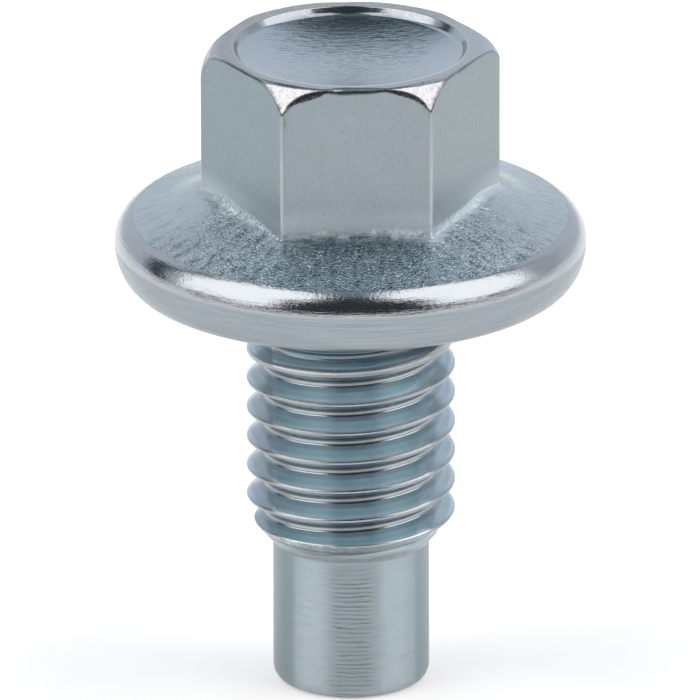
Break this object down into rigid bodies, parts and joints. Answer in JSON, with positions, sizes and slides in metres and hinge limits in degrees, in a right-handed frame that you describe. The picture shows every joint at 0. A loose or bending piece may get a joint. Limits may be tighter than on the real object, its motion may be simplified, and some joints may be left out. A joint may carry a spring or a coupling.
{
  "type": "oil drain plug",
  "caption": "Oil drain plug with a dished hexagon flange head, a coarse right-hand thread and a plain pilot point.",
  "frame": {"origin": "centre of the flat seat face under the flange, on the thread's axis", "axes": "+Z along the thread's axis towards the head; -Z down the shank to the pilot's flat end; -Y square to one flat of the hexagon"},
  "size_m": [0.0266, 0.0266, 0.0379],
  "materials": {
    "zinc_steel": "blue-white zinc plating over forged steel, satin, with fine turning lines on the pilot"
  },
  "bodies": {
    "root": {"drain_plug": "zinc_steel"}
  },
  "joints": []
}
